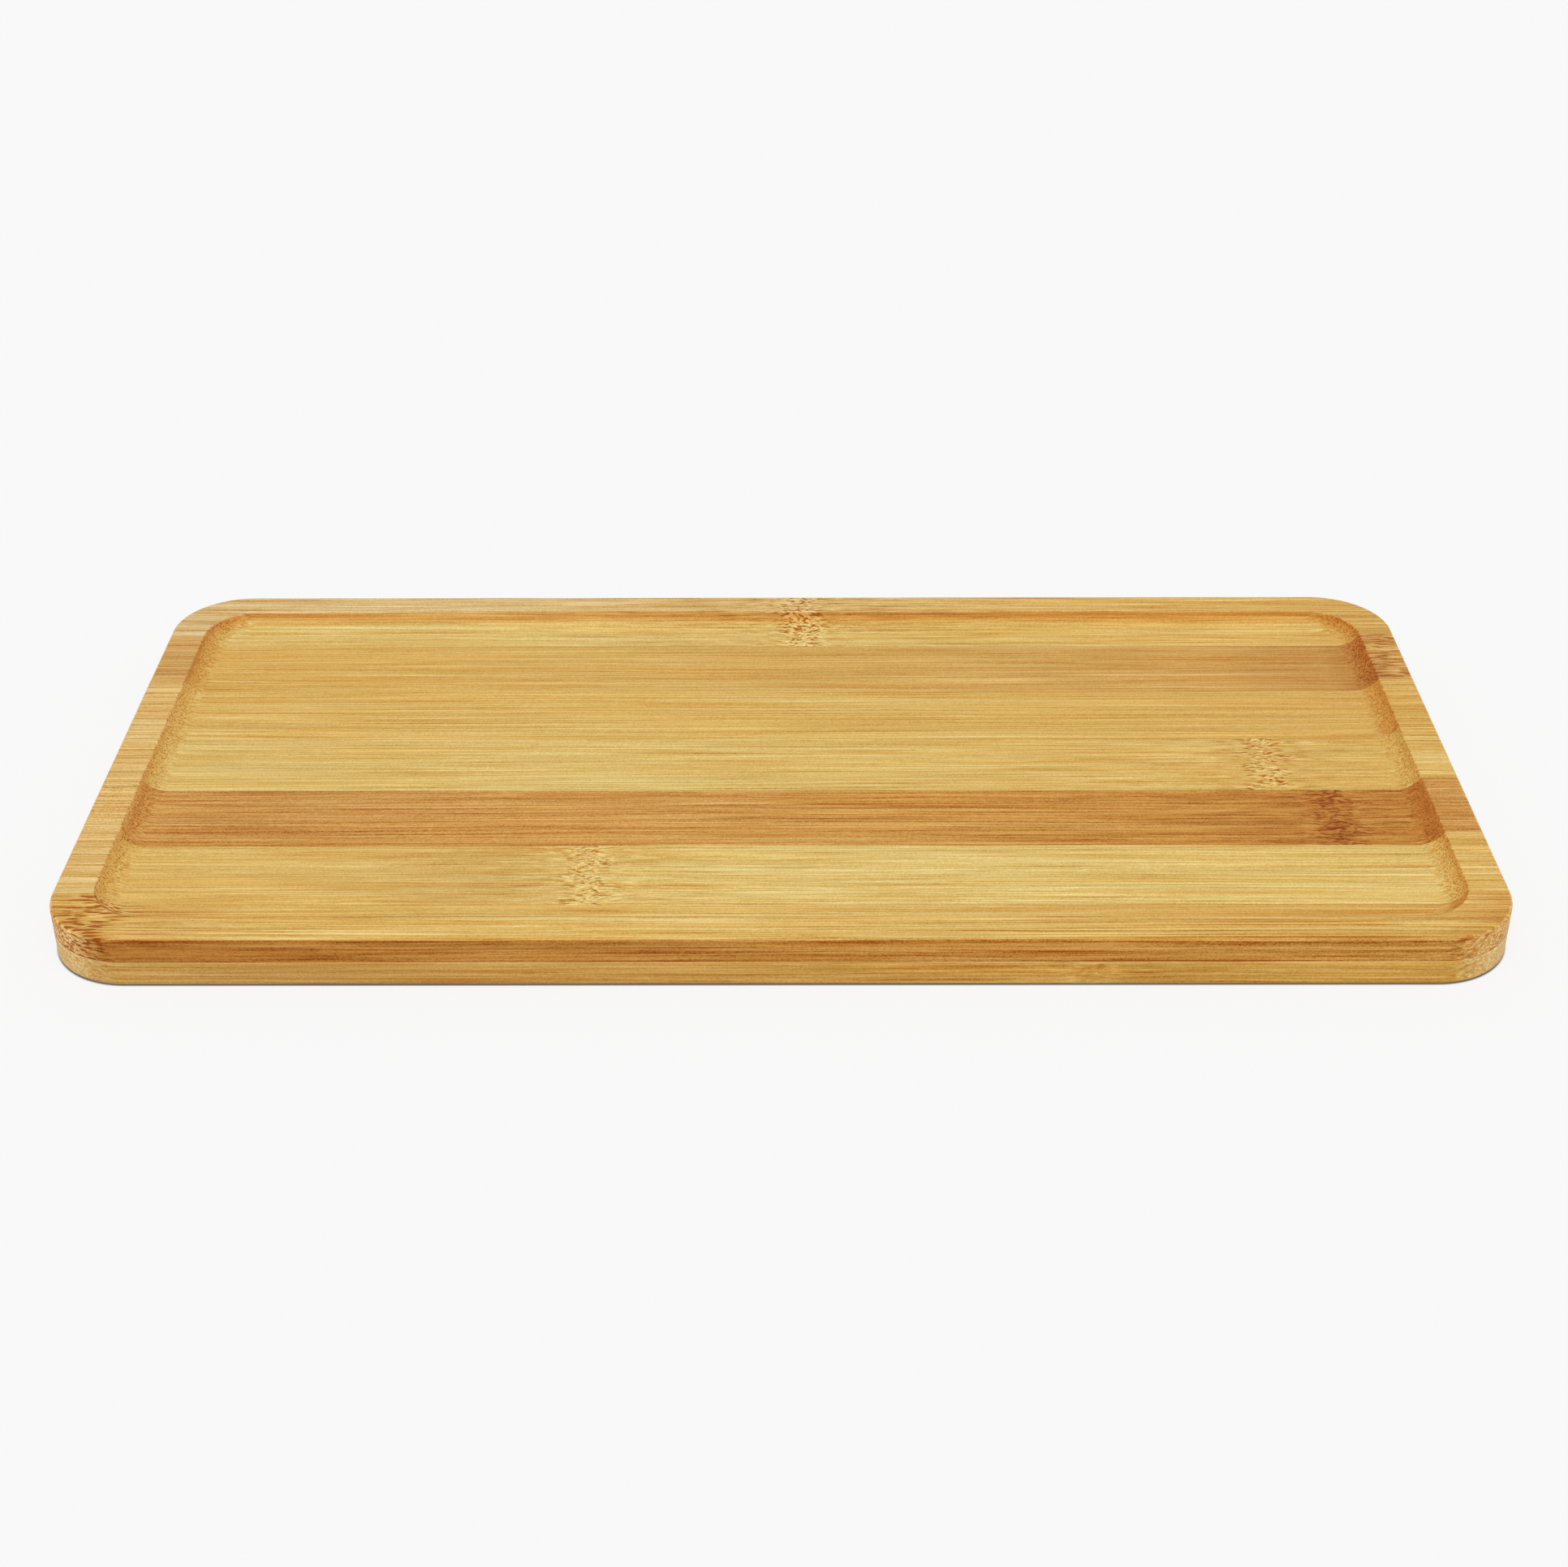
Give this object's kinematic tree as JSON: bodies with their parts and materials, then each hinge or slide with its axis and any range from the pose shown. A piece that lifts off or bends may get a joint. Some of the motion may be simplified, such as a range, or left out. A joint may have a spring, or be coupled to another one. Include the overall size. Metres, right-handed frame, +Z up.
{
  "type": "serving tray",
  "caption": "Flat rectangular bamboo serving tray with rounded corners, a shallow coved recess and a flat rim, glued up from parallel slats in two plies.",
  "frame": {"origin": "under the middle of the tray, on the surface that it stands on", "axes": "+Z up out of the recess, +X along the slats and the long side, -Y towards the long side that faces the viewer"},
  "size_m": [0.3, 0.15, 0.0112],
  "materials": {
    "bamboo_pale": "sanded and lightly oiled bamboo, pale slat",
    "bamboo_honey": "sanded and lightly oiled bamboo, honey slat",
    "bamboo_tan": "sanded and lightly oiled bamboo, tan slat",
    "bamboo_caramel": "sanded and lightly oiled bamboo, dark caramel slat"
  },
  "bodies": {
    "root": {"top_slat_1": "bamboo_honey", "top_slat_2": "bamboo_tan", "top_slat_3": "bamboo_honey", "top_slat_4": "bamboo_pale", "top_slat_5": "bamboo_caramel", "top_slat_6": "bamboo_pale", "top_slat_7": "bamboo_honey", "base_slat_1": "bamboo_pale", "base_slat_2": "bamboo_honey", "base_slat_3": "bamboo_tan", "base_slat_4": "bamboo_pale", "base_slat_5": "bamboo_honey", "base_slat_6": "bamboo_pale", "base_slat_7": "bamboo_tan"}
  },
  "joints": []
}
